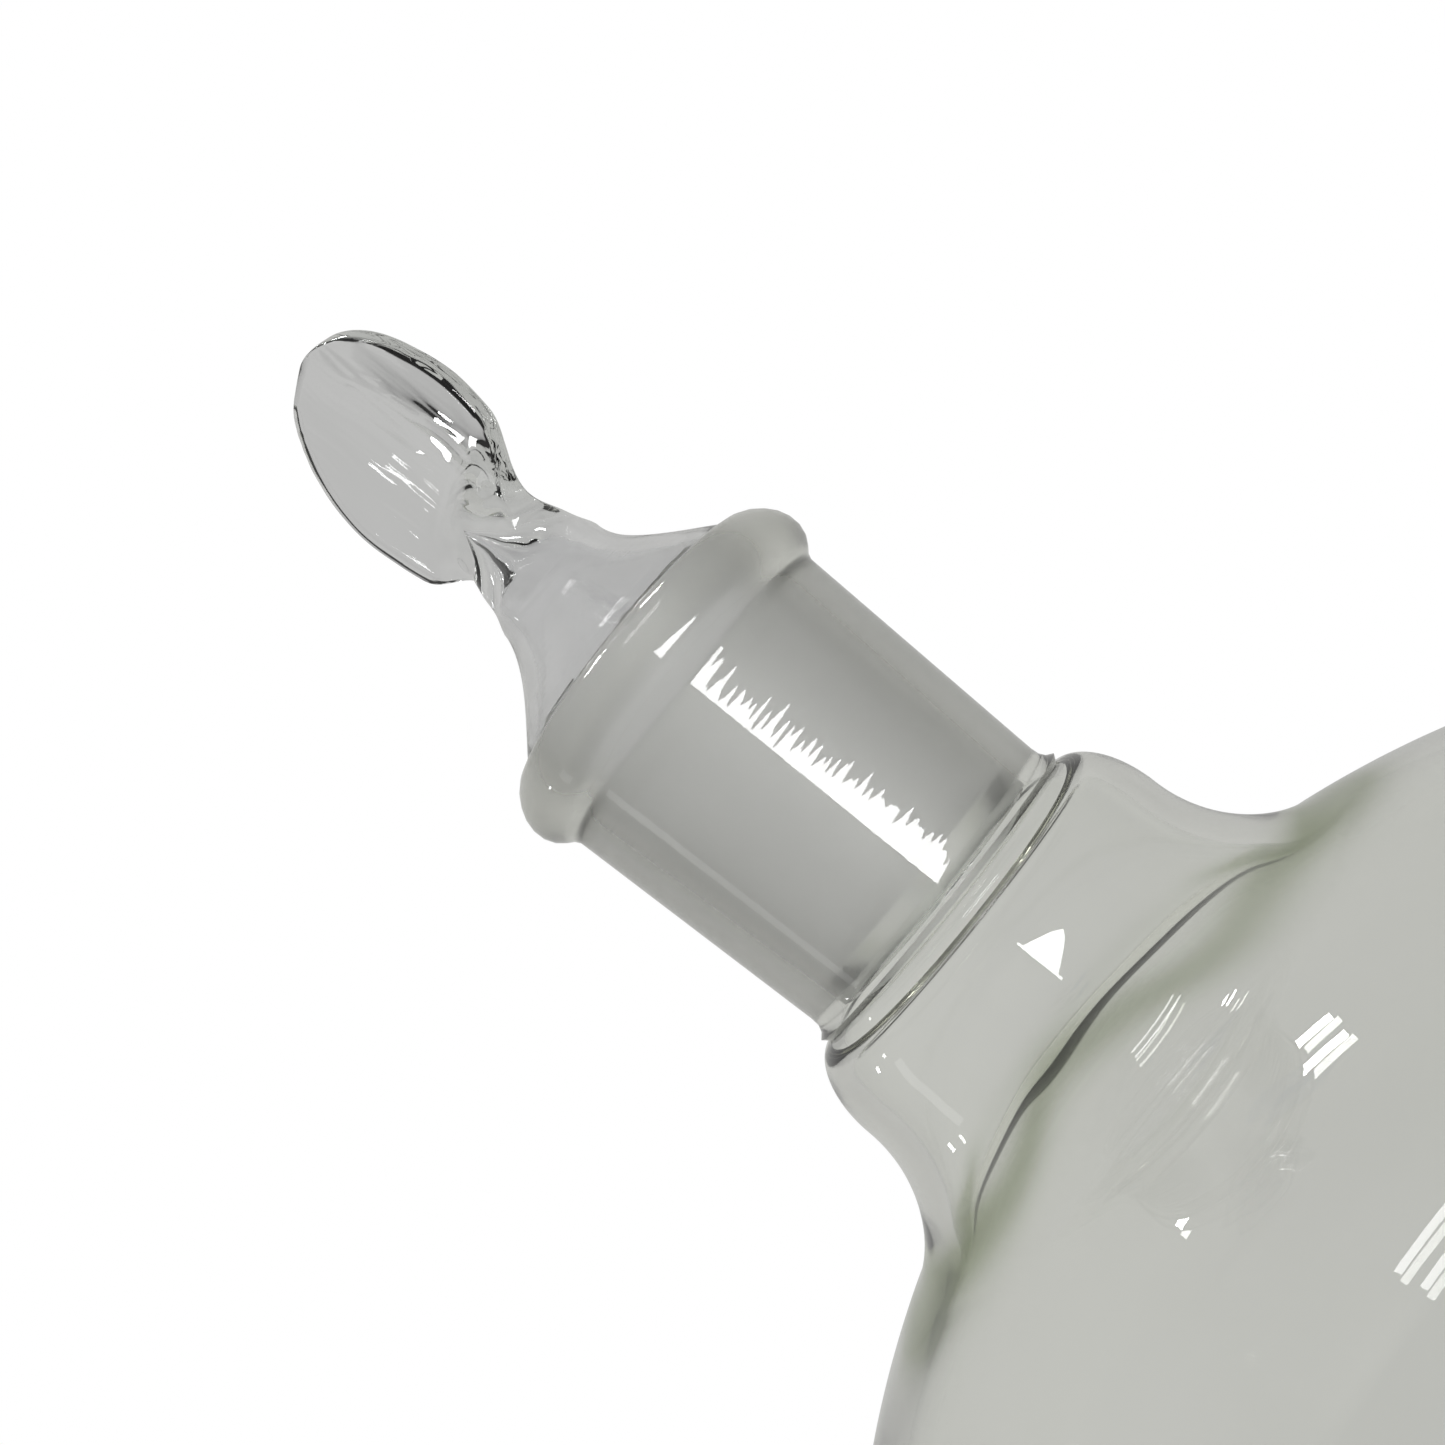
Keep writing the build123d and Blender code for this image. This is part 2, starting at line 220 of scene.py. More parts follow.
shell, rows = lathe(outside + inside[::-1], turns)
for index, row in enumerate(rows):
    for k, vertex in enumerate(row):
        angle = 2 * pi * k / turns
        height = vertex.co.z / MM
        if height > joint_z - 1:
            continue
        fade = blend_between(joint_z - height, 1, 8) * blend_between(height, arm_end_z + 2, arm_end_z + 10)
        blown = blow_unevenness * unevenness(angle, height, 1.4, 0.05, 2.0)
        swell = weld_swell * weld_and_shade_weight(angle, height)
        move = (swell + blown) if index >= len(outside) else 0.3 * swell
        vertex.co += vertex.normal * move * fade * MM


# The stopcock's barrel with its inlet and outlet arms is one flame-worked piece: thick tube,
# with every joint between tubes melted into a fillet. Its bore is ground to a 1 in 5 taper.

plug_z = (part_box("stopcock_plug")[0].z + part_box("stopcock_plug")[1].z) / 2 / MM
stem_top_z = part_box("stem")[1].z / MM
stem_tip_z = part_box("stem")[0].z / MM
seat_mid_r = 6.9
seat_taper = 0.1
barrel_wall = 2.3
barrel_half = 17.0
end_round = 0.8
bead_r = 1.0
bead_sunk = 0.4
outlet_r = 5.3
outlet_bore_r = 3.5
inlet_bore_r = 4.5
arm_swell = 0.3
port_r = 2.0
port_top = 8.6
port_flare = 2.2
bore_round = 0.5
fillet_width = 3.0
voxel = 0.39


def add(tree, kind, inputs=(), **settings):
    """A node with its settings, as its outputs. An input is a plain value or what feeds it."""
    made = tree.nodes.new(kind)
    for name, value in settings.items():
        setattr(made, name, value)
    for name, value in dict(inputs).items():
        if isinstance(value, bpy.types.NodeSocket):
            tree.links.new(value, made.inputs[name])
        else:
            made.inputs[name].default_value = value
    return made.outputs


def geometry_tree(name, sizes):
    """A Geometry Nodes tree: the tree, its input node and its output node."""
    tree = bpy.data.node_groups.new(name, "GeometryNodeTree")
    tree.interface.new_socket("Geometry", in_out="INPUT", socket_type="NodeSocketGeometry")
    tree.interface.new_socket("Geometry", in_out="OUTPUT", socket_type="NodeSocketGeometry")
    tree.interface.new_socket("Finish", in_out="INPUT", socket_type="NodeSocketMaterial")
    for size in sizes:
        tree.interface.new_socket(size, in_out="INPUT", socket_type="NodeSocketFloat")
    return tree, tree.nodes.new("NodeGroupInput").outputs, tree.nodes.new("NodeGroupOutput")


def grow(name, data, tree, finish, sizes):
    """The plain mesh that a Geometry Nodes tree makes from an object's data."""
    seed = bpy.data.objects.new(name, data)
    scene.collection.objects.link(seed)
    maker = seed.modifiers.new(name, "NODES")
    maker.node_group = tree
    for item in tree.interface.items_tree:
        if item.name in sizes:
            maker[item.identifier] = sizes[item.name]
        if item.name == "Finish":
            maker[item.identifier] = finish
    made = bpy.data.meshes.new_from_object(seed.evaluated_get(bpy.context.evaluated_depsgraph_get()))
    bpy.data.objects.remove(seed)
    made.name = name
    return made


tee, given, result = geometry_tree("flame_worked_tee", ["Seat radius", "Wall", "Half length", "Fillet"])
place = add(tee, "GeometryNodeInputPosition")[0]
in_mm = add(tee, "ShaderNodeVectorMath", {0: place, 3: 1 / MM}, operation="SCALE")[0]
local = add(tee, "ShaderNodeVectorMath", {0: in_mm, 1: (0, 0, plug_z)}, operation="SUBTRACT")[0]
split = add(tee, "ShaderNodeSeparateXYZ", {0: local})
round_plug = add(tee, "ShaderNodeVectorMath", {0: local, 1: (0, 1, 1)}, operation="MULTIPLY")[0]
from_plug = add(tee, "ShaderNodeVectorMath", {0: round_plug}, operation="LENGTH")["Value"]
round_axis = add(tee, "ShaderNodeVectorMath", {0: local, 1: (1, 1, 0)}, operation="MULTIPLY")[0]
from_axis = add(tee, "ShaderNodeVectorMath", {0: round_axis}, operation="LENGTH")["Value"]

# Each part is a distance in mm from its skin, negative inside the glass. First the barrel, with
# a bead of melted glass round each end.
seat_r = add(tee, "ShaderNodeMath", {0: split["X"], 1: seat_taper, 2: given["Seat radius"]},
             operation="MULTIPLY_ADD")[0]
skin_r = add(tee, "ShaderNodeMath", {0: seat_r, 1: given["Wall"]}, operation="ADD")[0]
off_middle = add(tee, "ShaderNodeMath", {0: split["X"]}, operation="ABSOLUTE")[0]
past_end = add(tee, "ShaderNodeMath", {0: off_middle, 1: given["Half length"]}, operation="SUBTRACT")[0]
off_skin = add(tee, "ShaderNodeMath", {0: from_plug, 1: skin_r}, operation="SUBTRACT")[0]
barrel = add(tee, "ShaderNodeMath", {0: off_skin, 1: past_end, 2: end_round}, operation="SMOOTH_MAX")[0]
bead_out = add(tee, "ShaderNodeMath", {0: off_skin, 1: bead_sunk}, operation="ADD")[0]
bead_along = add(tee, "ShaderNodeMath", {0: past_end, 1: bead_r}, operation="ADD")[0]
bead_spot = add(tee, "ShaderNodeCombineXYZ", {0: bead_out, 1: bead_along})[0]
bead_gap = add(tee, "ShaderNodeVectorMath", {0: bead_spot}, operation="LENGTH")["Value"]
off_bead = add(tee, "ShaderNodeMath", {0: bead_gap, 1: bead_r}, operation="SUBTRACT")[0]
barrel = add(tee, "ShaderNodeMath", {0: barrel, 1: off_bead, 2: end_round}, operation="SMOOTH_MIN")[0]

# The inlet arm above and the thinner outlet arm below, swollen a little where each is welded on.
top = arm_end_z + 1.2 - plug_z
foot = stem_top_z - 1.2 - plug_z
arm_out = add(tee, "ShaderNodeMapRange", {0: split["Z"], 1: -5.0, 2: 5.0, 3: outlet_r, 4: arm_r})[0]
arm_in = add(tee, "ShaderNodeMapRange", {
    0: split["Z"], 1: -5.0, 2: 5.0, 3: outlet_bore_r, 4: inlet_bore_r})[0]
near_top = add(tee, "ShaderNodeMapRange", {0: split["Z"], 1: top - 3, 2: top - 1.5, 3: 0.0, 4: arm_swell},
               interpolation_type="SMOOTHSTEP")[0]
near_foot = add(tee, "ShaderNodeMapRange", {0: split["Z"], 1: foot + 3, 2: foot + 1.5, 3: 0.0, 4: arm_swell},
                interpolation_type="SMOOTHSTEP")[0]
swelling = add(tee, "ShaderNodeMath", {0: near_top, 1: near_foot}, operation="ADD")[0]
arm_skin = add(tee, "ShaderNodeMath", {0: arm_out, 1: swelling}, operation="ADD")[0]
arm = add(tee, "ShaderNodeMath", {0: from_axis, 1: arm_skin}, operation="SUBTRACT")[0]
over_top = add(tee, "ShaderNodeMath", {0: split["Z"], 1: top}, operation="SUBTRACT")[0]
arm = add(tee, "ShaderNodeMath", {0: arm, 1: over_top}, operation="MAXIMUM")[0]
under_foot = add(tee, "ShaderNodeMath", {0: foot, 1: split["Z"]}, operation="SUBTRACT")[0]
arm = add(tee, "ShaderNodeMath", {0: arm, 1: under_foot}, operation="MAXIMUM")[0]
glass = add(tee, "ShaderNodeMath", {0: barrel, 1: arm, 2: given["Fillet"]}, operation="SMOOTH_MIN")[0]

# Cut from that: the tapered seat, and the arms' bores, which narrow to the ports at the seat.
in_seat = add(tee, "ShaderNodeMath", {0: seat_r, 1: from_plug}, operation="SUBTRACT")[0]
glass = add(tee, "ShaderNodeMath", {0: glass, 1: in_seat}, operation="MAXIMUM")[0]
off_plug = add(tee, "ShaderNodeMath", {0: split["Z"]}, operation="ABSOLUTE")[0]
past_port = add(tee, "ShaderNodeMath", {0: off_plug, 1: port_top}, operation="SUBTRACT")[0]
widening = add(tee, "ShaderNodeMapRange", {0: past_port, 1: 0.0, 2: port_flare, 3: 0.0, 4: 1.0},
               interpolation_type="SMOOTHSTEP")[0]
arm_bore = add(tee, "ShaderNodeMath", {0: arm_in, 1: swelling}, operation="SUBTRACT")[0]
bore_r = add(tee, "ShaderNodeMix", {0: widening, 2: port_r, 3: arm_bore})[0]
in_bore = add(tee, "ShaderNodeMath", {0: bore_r, 1: from_axis}, operation="SUBTRACT")[0]
glass = add(tee, "ShaderNodeMath", {0: glass, 1: in_bore, 2: bore_round}, operation="SMOOTH_MAX")[0]

low = Vector((-19, -13, foot + plug_z - 1)) * MM
high = Vector((19, 13, top + plug_z + 1)) * MM
cells = [int((b - a) / MM / voxel) for a, b in zip(low, high)]
filled = add(tee, "ShaderNodeMath", {0: glass, 1: -1.0}, operation="MULTIPLY")[0]
cloud = add(tee, "GeometryNodeVolumeCube", {
    "Density": filled, "Background": -1.0, "Min": low, "Max": high,
    "Resolution X": cells[0], "Resolution Y": cells[1], "Resolution Z": cells[2]})
skin = add(tee, "GeometryNodeVolumeToMesh", {"Volume": cloud[0], "Threshold": 0.0})
finished = add(tee, "GeometryNodeSetMaterial", {"Geometry": skin[0], "Material": given["Finish"]})
real = add(tee, "GeometryNodeRealizeInstances", {0: finished[0]})
tee.links.new(real[0], result.inputs[0])


def linear(hex_colour):
    """An sRGB hex colour as Blender's linear colour."""
    channels = [int(hex_colour[i:i + 2], 16) / 255 for i in (1, 3, 5)]
    return [c / 12.92 if c <= 0.04045 else ((c + 0.055) / 1.055) ** 2.4 for c in channels] + [1]


def material(name):
    """A new node material: the material, its tree and its output node."""
    made = bpy.data.materials.new(name)
    made.use_nodes = True
    made.node_tree.nodes.clear()
    return made, made.node_tree, made.node_tree.nodes.new("ShaderNodeOutputMaterial")


# Borosilicate 3.3: colourless but for an olive cast through a thick edge. Fire-polished it is
# mirror smooth with faint rings from the lathe. Grinding with 120 grit leaves an even matt.
glass_ior = 1.474
glass_cast = (0.66, 0.70, 0.30, 1)
glass_density = 14.0
ground_roughness = 0.34
ring_spacing_mm = 0.45
ring_depth_mm = 0.085
# The weld ring's dark olive tint: partly the thick glass's own cast, partly painted shade, darkest at the
# ring's sides seen from the camera.
weld_shade_colour = "#A9B296"

borosilicate, tree, out = material("borosilicate_flame_worked")
place = add(tree, "ShaderNodeTexCoord")["Object"]
height = add(tree, "ShaderNodeSeparateXYZ", {0: place})["Z"]
ground = add(tree, "ShaderNodeAttribute", attribute_name="ground")["Fac"]
turned = add(tree, "ShaderNodeAttribute", attribute_name="turned")["Fac"]
weld = add(tree, "ShaderNodeAttribute", attribute_name="weld")["Fac"]
film = add(tree, "ShaderNodeTexNoise", {"Vector": place, "Scale": 45.0, "Detail": 3.0})[0]
tint = add(tree, "ShaderNodeMix", {0: film, 6: linear("#FAFBF9"), 7: linear("#FFFFFF")}, data_type="RGBA")
dull = add(tree, "ShaderNodeMix", {0: ground, 6: tint[2], 7: linear("#FEFEFE")}, data_type="RGBA")
# Painted shade: the weld's dark olive tint, mixed into the base colour by the weld attribute.
thick = add(tree, "ShaderNodeMix", {0: weld, 6: dull[2], 7: linear(weld_shade_colour)}, data_type="RGBA")
matt = add(tree, "ShaderNodeMath", {0: ground, 1: ground_roughness}, operation="MULTIPLY")[0]
rings = add(tree, "ShaderNodeVectorMath", {0: place, 1: (30, 30, 1 / ring_spacing_mm / MM)},
            operation="MULTIPLY")[0]
ring_height = add(tree, "ShaderNodeTexNoise", {"Vector": rings, "Scale": 1.0, "Detail": 0.0})[0]
upper = add(tree, "ShaderNodeMapRange", {0: height, 1: joint_z * MM, 2: rim_z * MM, 3: 0.2, 4: 1.0})[0]
on_turned = add(tree, "ShaderNodeMath", {0: ring_height, 1: turned}, operation="MULTIPLY")[0]
ring_share = add(tree, "ShaderNodeMath", {0: on_turned, 1: upper}, operation="MULTIPLY")[0]
drawn = add(tree, "ShaderNodeBump", {"Height": ring_share, "Distance": ring_depth_mm * MM, "Strength": 1.0})
shader = add(tree, "ShaderNodeBsdfPrincipled", {
    "Base Color": thick[2], "Roughness": matt, "IOR": glass_ior,
    "Transmission Weight": 1.0, "Normal": drawn[0]})
depth = add(tree, "ShaderNodeVolumeAbsorption", {"Color": glass_cast, "Density": glass_density})
tree.links.new(shader[0], out.inputs["Surface"])
tree.links.new(depth[0], out.inputs["Volume"])


def piece(name, mesh, finish):
    """A finished mesh or bmesh as an object at the origin, smooth but for its sharp edges."""
    if isinstance(mesh, bmesh.types.BMesh):
        data = bpy.data.meshes.new(name)
        mesh.to_mesh(data)
        mesh.free()
    else:
        data = mesh
        data.name = name
    data.materials.clear()
    data.materials.append(finish)
    data.shade_smooth()
    data.set_sharp_from_angle(angle=radians(38))
    made = bpy.data.objects.new(name, data)
    scene.collection.objects.link(made)
    return made


def joined(base, others, operation="UNION"):
    """One closed mesh from a solid and others that are melted on to it or cut from it."""
    for other in others:
        step = base.modifiers.new("join", "BOOLEAN")
        step.operation = operation
        step.solver = "MANIFOLD"
        step.object = other
    data = bpy.data.meshes.new_from_object(base.evaluated_get(bpy.context.evaluated_depsgraph_get()))
    for used in [base, *others]:
        bpy.data.objects.remove(used)
    return data


# The outlet stem is plain tube. Its tip is ground off at a slant so that it drains cleanly.
stem_r = 5.0
stem_wall = 1.5
tip_slant = radians(35)
tip_rise = 9.0
stem_side = [(stem_r, stem_top_z)] + run((stem_r, stem_top_z), (stem_r, stem_tip_z + tip_rise), 30)
stem_bore = [(stem_r - stem_wall, z) for r, z in stem_side]
tip = [(stem_r - 0.15, stem_tip_z + 0.15), (stem_r - stem_wall + 0.15, stem_tip_z + 0.15)]
tube = lathe(stem_side + [(stem_r, stem_tip_z + 0.35)] + tip
             + [(stem_r - stem_wall, stem_tip_z + 0.35)] + stem_bore[::-1], 72)[0]
for vertex in tube.verts:
    if vertex.co.z / MM < stem_tip_z + 0.5:
        vertex.co.z += (stem_r * MM - vertex.co.x) * tan(tip_slant)

vessel_blank = piece("vessel_blank", shell, borosilicate)
tee_mesh = grow("tee_blank", bpy.data.meshes.new("seed"), tee, borosilicate, {
    "Seat radius": seat_mid_r, "Wall": barrel_wall, "Half length": barrel_half, "Fillet": fillet_width})
tee_blank = piece("tee_blank", tee_mesh, borosilicate)
stem_blank = piece("stem_blank", tube, borosilicate)
vessel = piece("glass_vessel", joined(vessel_blank, [tee_blank, stem_blank]), borosilicate)

spots = np.empty(len(vessel.data.vertices) * 3)
vessel.data.vertices.foreach_get("co", spots)
spots = spots.reshape(-1, 3) / MM
reach = np.hypot(spots[:, 0], spots[:, 1])
from_seat = np.hypot(spots[:, 1], spots[:, 2] - plug_z)
bore_line = joint_foot_r + (joint_r - joint_foot_r) * (spots[:, 2] - joint_z) / (rim_z - joint_z)
in_joint = (spots[:, 2] > joint_z + 0.6) & (reach < bore_line + 0.3)
in_seat = (np.abs(spots[:, 0]) < barrel_half) & (from_seat < seat_mid_r + seat_taper * spots[:, 0] + 0.05)
on_socket = (spots[:, 2] > joint_z + 0.6) & (spots[:, 2] < rim_z - 5.6) & ~in_joint
# The weld attribute masks the weld's painted shade, heaviest at the ring's sides seen from the camera.
weld_shade_weights = [weld_and_shade_weight(atan2(y, x), z) if abs(z - weld_z) < 14 else 0.0 for x, y, z in spots]
for name, values in (("ground", in_joint | in_seat), ("turned", on_socket), ("weld", weld_shade_weights)):
    layer = vessel.data.attributes.new(name, "FLOAT", "POINT")
    layer.data.foreach_set("value", np.asarray(values, dtype=float))
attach(vessel, "vessel")
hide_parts("ground_socket", "neck_collar", "bulb", "stopcock_barrel", "stem")


# ---------------------------------------------------------------- Stopper
# Hollow borosilicate stopper: a ground cone, a clear bell, a pinched waist and a thumb plate
# that was pressed flat while soft, so its faces are rippled along the pull of the glass.

foot_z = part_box("stopper")[0].z / MM
head_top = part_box("stopper")[1].z / MM - rim_z
head_half_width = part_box("stopper")[1].x / MM
cone_r = joint_r - 0.04
cone_foot_r = cone_r - 0.05 * (rim_z - foot_z)
head_centre = 22.0
bell_top = 7.6
bell_top_r = 5.5
waist_r = 4.75
plate_mid = 1.4
plate_edge = 0.75
edge_round = 0.32
columns = 224


def bezier(points, steps):
    """Points on a Bezier curve, without its first point."""
    made = []
    for i in range(1, steps + 1):
        level = [Vector(p) for p in points]
        while len(level) > 1:
            level = [a.lerp(b, i / steps) for a, b in zip(level, level[1:])]
        made.append(tuple(level[0]))
    return made


def section(half_width, middle, edge, flat):
    """An even ring of points, from a round (flat 0) to a lens with rounded edges (flat 1)."""
    fine = np.linspace(0, 2 * pi, 1441)
    x = half_width * np.cos(fine)
    edge = min(edge, half_width)
    from_edge = np.clip((half_width - np.abs(x)) / min(edge, edge_round + 2.0 * (1 - flat)), 0, 1)
    rounded = (1 - (1 - from_edge) ** 2.5) ** (1 / 2.5)
    lens = edge * rounded + max(0, middle - edge) * (1 - (x / half_width) ** 2) ** 2
    y = np.sign(np.sin(fine)) * lens * flat + middle * np.sin(fine) * (1 - flat)
    travelled = np.concatenate([[0], np.cumsum(np.hypot(np.diff(x), np.diff(y)))])
    at = np.linspace(0, travelled[-1], columns, endpoint=False)
    return np.stack([np.interp(at, travelled, x), np.interp(at, travelled, y)], 1)


turned_part = [(cone_foot_r - 0.8, foot_z - rim_z), (cone_foot_r, foot_z - rim_z + 0.8)]
turned_part += run(turned_part[-1], (cone_r, 0), 40)
turned_part += bezier([(cone_r, 0), (9.2, 2.6), (6.0, 5.2), (bell_top_r, bell_top)], 30)
stopper_rows = [(r, r, r, 0.0, z) for r, z in turned_part]
steps = 110
for i in range(1, steps + 1):
    h = bell_top + (head_top - bell_top) * sin(pi / 2 * i / steps)
    up = (h - head_centre) / (head_top - head_centre if h > head_centre else 12.5)
    oval = head_half_width * sqrt(max(0.0, 1 - up * up))
    stalk = waist_r + (bell_top_r - waist_r) * (1 - blend_between(h, bell_top, 10.5)) ** 1.5
    half_width = stalk + (oval - stalk) * blend_between(h, 11.0, 17.4)
    edge = 2.4 + (plate_edge - 2.4) * blend_between(h, 9.0, 15.0)
    middle = stalk + (plate_mid - stalk) * blend_between(h, 9.5, 18.5)
    if h > head_centre:
        middle = plate_edge + (plate_mid - plate_edge) * (1 - up * up)
        rounding = min(1.0, (head_top - h) / plate_edge)
        edge = plate_edge * sqrt(1 - (1 - rounding) ** 2)
        middle = edge + middle - plate_edge
    flat = blend_between(h, bell_top, 15.0)
    stopper_rows.append((max(half_width, 0.05), max(middle, 0.03), max(edge, 0.03), flat, h))

mesh = bmesh.new()
ground = mesh.verts.layers.float.new("ground")
rings = []
for half_width, middle, edge, flat, h in stopper_rows:
    lean = 0.7 * blend_between(h, 5.5, 10.0) - 0.45 * blend_between(h, 20.0, 25.0)
    ring = []
    for x, y in section(half_width, middle, edge, flat):
        vertex = mesh.verts.new(Vector((x + lean, y, h + rim_z)) * MM)
        vertex[ground] = 1.0 if foot_z + 0.5 - rim_z < h < -0.1 else 0.0
        ring.append(vertex)
    rings.append(ring)
for low_ring, high_ring in zip(rings, rings[1:]):
    for k in range(columns):
        mesh.faces.new([low_ring[k], low_ring[(k + 1) % columns], high_ring[(k + 1) % columns], high_ring[k]])
mesh.faces.new(rings[0][::-1])
mesh.faces.new(rings[-1])
mesh.normal_update()
ripple = 0.04
for ring in rings:
    for vertex in ring:
        x, y, h = vertex.co.x / MM, vertex.co.y / MM, vertex.co.z / MM - rim_z
        share = blend_between(h, 15, 20) * (1 - blend_between(h, head_top - 2.0, head_top - 0.3))
        bend = 2.0 * noise.noise(Vector((x * 0.25, y * 0.25, h * 0.16)))
        share *= 1 - 0.8 * blend_between(abs(x), 5.0, 9.5)
        streak = noise.noise(Vector((x * 0.8 + bend, y * 0.9, h * 0.10 + 7)))
        lump = noise.noise(Vector((x * 0.30 + 5, y * 0.4 + 3, h * 0.20)))
        vertex.co += vertex.normal * share * ripple * (streak + 1.6 * lump) * MM

cavity_wall = 1.7
cavity_foot = foot_z + cavity_wall - rim_z
cavity = [(0.0, cavity_foot), (cone_foot_r - cavity_wall - 1.5, cavity_foot)]
cavity += run(cavity[-1], (cone_foot_r - cavity_wall, cavity_foot + 1.5), 3)
cavity += run(cavity[-1], (cone_r - cavity_wall, -2.4), 30)
cavity += bezier([(cone_r - cavity_wall, -2.4), (10.3, -0.1), (6.2, 3.0), (4.3, 4.6), (4.0, 7.6)], 30)
cavity += bezier([(4.0, 7.6), (3.7, 9.8), (2.2, 11.2), (0.9, 13.0), (0.0, 14.8)], 24)
hollow = lathe([(r, rim_z + z) for r, z in cavity], 128)[0]
bmesh.ops.reverse_faces(hollow, faces=hollow.faces)
inner = bpy.data.meshes.new("hollow")
hollow.to_mesh(inner)
hollow.free()
mesh.from_mesh(inner)

# Pressed and drawn borosilicate: the same glass without the cast, with fine pull lines.
pull_line_mm = 0.045
stopper_glass, tree, out = material("borosilicate_pressed")
place = add(tree, "ShaderNodeTexCoord")["Object"]
height = add(tree, "ShaderNodeSeparateXYZ", {0: place})["Z"]
ground = add(tree, "ShaderNodeAttribute", attribute_name="ground")["Fac"]
film = add(tree, "ShaderNodeTexNoise", {"Vector": place, "Scale": 90.0, "Detail": 3.0})[0]
tint = add(tree, "ShaderNodeMix", {0: film, 6: linear("#F1F1F3"), 7: linear("#FBFBFC")}, data_type="RGBA")
dull = add(tree, "ShaderNodeMix", {0: ground, 6: tint[2], 7: linear("#FEFEFE")}, data_type="RGBA")
matt = add(tree, "ShaderNodeMath", {0: ground, 1: ground_roughness}, operation="MULTIPLY")[0]
pulled = add(tree, "ShaderNodeVectorMath", {0: place, 1: (420, 420, 90)}, operation="MULTIPLY")[0]
pull_height = add(tree, "ShaderNodeTexNoise", {"Vector": pulled, "Scale": 1.0, "Detail": 2.0})[0]
ringed = add(tree, "ShaderNodeVectorMath", {0: place, 1: (30, 30, 2400)}, operation="MULTIPLY")[0]
bell_rings = add(tree, "ShaderNodeTexNoise", {"Vector": ringed, "Scale": 1.0, "Detail": 2.0})[0]
in_bell = add(tree, "ShaderNodeMapRange", {
    0: height, 1: (rim_z + 8) * MM, 2: (rim_z + 6) * MM, 3: 0.0, 4: 0.35})[0]
ring_part = add(tree, "ShaderNodeMath", {0: bell_rings, 1: in_bell}, operation="MULTIPLY")[0]
relief = add(tree, "ShaderNodeMath", {0: pull_height, 1: ring_part}, operation="ADD")[0]
pull_lines = add(tree, "ShaderNodeBump", {"Height": relief, "Distance": pull_line_mm * MM, "Strength": 1.0})
shader = add(tree, "ShaderNodeBsdfPrincipled", {
    "Base Color": dull[2], "Roughness": matt, "IOR": glass_ior,
    "Transmission Weight": 1.0, "Normal": pull_lines[0]})
depth = add(tree, "ShaderNodeVolumeAbsorption", {"Color": (0.55, 0.62, 0.45, 1), "Density": 9.0})
tree.links.new(shader[0], out.inputs["Surface"])
tree.links.new(depth[0], out.inputs["Volume"])

stopper = piece("glass_stopper", mesh, stopper_glass)
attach(stopper, "stopper")
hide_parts("stopper")


# ---------------------------------------------------------------- Stopcock plug
# Turned PTFE: a 1 in 5 tapered key with a 4 mm cross bore, a T-handle in line with the bore, and
# a threaded tail with one flat, so that the washer on it can't turn.

plug_box = [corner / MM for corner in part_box("stopcock_plug")]
small_x = -barrel_half + 0.8
large_x = barrel_half + 2.2
handle_x = large_x + 4.0
handle_top = plug_box[1].x
handle_half = plug_box[1].y
handle_thick = 3.8
handle_depth = 7.0
handle_end = 3.4
handle_squareness = 4.2
handle_columns = 56
hub_r = 6.4
tail_r = 4.4
tail_flat = 3.5
thread_pitch = 1.5
thread_depth = 0.7
thread_start = 1.2
ridge_r = 0.55
plug_gap = 0.035
port_reach = 20


def about_plug(r, along, a):
    """A turned point about the plug's axis."""
    return along, r * cos(a), plug_z + r * sin(a)


def seat_line(x):
    """The key's radius at a distance along the plug."""
    return seat_mid_r + seat_taper * x - plug_gap


core_r = tail_r - thread_depth
key = [(0.0, plug_box[0].x), (core_r - 0.6, plug_box[0].x), (core_r, plug_box[0].x + 0.6)]
key += run(key[-1], (core_r, small_x - 1.2), 20)
key += [(tail_r - 0.4, small_x), (seat_line(small_x) - 0.4, small_x)]
key += [(seat_line(small_x + 0.4), small_x + 0.4)]
key += run(key[-1], (seat_line(large_x - 0.3), large_x - 0.3), 40)
key += [(seat_line(large_x) - 0.3, large_x), (hub_r + 0.8, large_x), (hub_r, large_x + 0.8)]
key += [(hub_r - 0.5, large_x + 2.0), (hub_r - 0.4, handle_x)]
key += [(hub_r - 0.8, handle_x + 3), (0.0, handle_x + 3)]

thread, given, result = geometry_tree("screw_thread", ["Pitch", "Length", "Core radius", "Ridge"])
turns_needed = add(thread, "ShaderNodeMath", {0: given["Length"], 1: given["Pitch"]}, operation="DIVIDE")[0]
helix = add(thread, "GeometryNodeCurveSpiral", {
    "Resolution": 48, "Rotations": turns_needed, "Start Radius": given["Core radius"],
    "End Radius": given["Core radius"], "Height": given["Length"]})
ridge = add(thread, "GeometryNodeCurvePrimitiveCircle", {"Resolution": 6, "Radius": given["Ridge"]})
swept = add(thread, "GeometryNodeCurveToMesh", {
    "Curve": helix[0], "Profile Curve": ridge[0], "Fill Caps": True})
laid = add(thread, "GeometryNodeTransform", {
    "Geometry": swept[0], "Translation": (plug_box[0].x * MM + thread_start * MM, 0, plug_z * MM),
    "Rotation": (0, pi / 2, 0)})
finished = add(thread, "GeometryNodeSetMaterial", {"Geometry": laid[0], "Material": given["Finish"]})
real = add(thread, "GeometryNodeRealizeInstances", {0: finished[0]})
thread.links.new(real[0], result.inputs[0])


